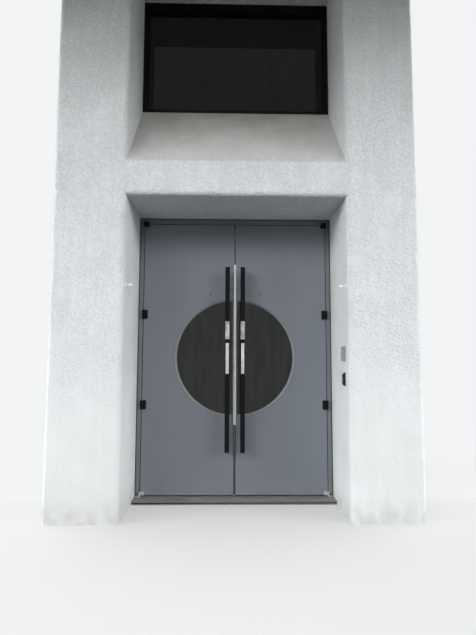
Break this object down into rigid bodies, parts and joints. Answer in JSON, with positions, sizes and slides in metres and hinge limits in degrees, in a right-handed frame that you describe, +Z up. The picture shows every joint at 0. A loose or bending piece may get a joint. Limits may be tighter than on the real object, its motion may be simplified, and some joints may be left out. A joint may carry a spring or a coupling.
{
  "type": "double entrance door bay",
  "caption": "Stucco entrance bay: a pair of flush swing doors with a shared round window and long pulls in a deep recess, a sloped sill and an upper window.",
  "frame": {"origin": "centre of the bay's footprint, on the ground", "axes": "+X to the right as seen from outside, +Y into the building, +Z up"},
  "size_m": [3.2, 0.92, 5.42],
  "materials": {
    "stucco": "matte",
    "concrete": "matte",
    "window_frame": "satin",
    "window_glass": "polished",
    "saddle": "satin",
    "frame_paint": "satin",
    "leaf_paint": "satin",
    "ring_paint": "satin",
    "lite_glass": "polished",
    "stainless": "polished",
    "pull_black": "satin",
    "black_metal": "satin",
    "silver_metal": "satin",
    "reader_grey": "matte",
    "buzzer_black": "satin",
    "sensor_white": "gloss"
  },
  "bodies": {
    "root": {"pier_left": "stucco", "pier_right": "stucco", "lintel": "stucco", "sloped_sill": "stucco", "header": "stucco", "window_head_rail": "window_frame", "window_bottom_rail": "window_frame", "window_stile_left": "window_frame", "window_stile_right": "window_frame", "window_glass": "window_glass", "door_sill": "concrete", "threshold": "saddle", "frame_head": "frame_paint", "frame_jamb_left": "frame_paint", "frame_jamb_right": "frame_paint", "frame_pivots_left": "black_metal", "frame_pivots_right": "black_metal", "floor_pivots": "silver_metal", "card_reader": "reader_grey", "door_buzzer": "buzzer_black", "door_sensors": "sensor_white"},
    "left_door": {"left_leaf": "leaf_paint", "left_glass": "lite_glass", "left_ring_outside": "ring_paint", "left_ring_inside": "ring_paint", "left_meeting_bar": "stainless", "left_pull_bar": "pull_black", "left_pull_grip": "stainless", "left_pull_posts": "pull_black", "left_inner_pull": "pull_black", "left_leaf_pivots": "black_metal", "left_foot_pivot": "silver_metal"},
    "right_door": {"right_leaf": "leaf_paint", "right_glass": "lite_glass", "right_ring_outside": "ring_paint", "right_ring_inside": "ring_paint", "right_meeting_bar": "stainless", "right_pull_bar": "pull_black", "right_pull_grip": "stainless", "right_pull_posts": "pull_black", "right_inner_pull": "pull_black", "right_leaf_pivots": "black_metal", "right_foot_pivot": "silver_metal"}
  },
  "joints": [
    {"name": "left_door_swing", "type": "hinge", "parent": "root", "child": "left_door", "pos_m": [-0.916, 0.246, 0], "axis": [0, 0, -1], "range_deg": [0, 90]},
    {"name": "right_door_swing", "type": "hinge", "parent": "root", "child": "right_door", "pos_m": [0.916, 0.246, 0], "axis": [0, 0, 1], "range_deg": [0, 90]}
  ]
}
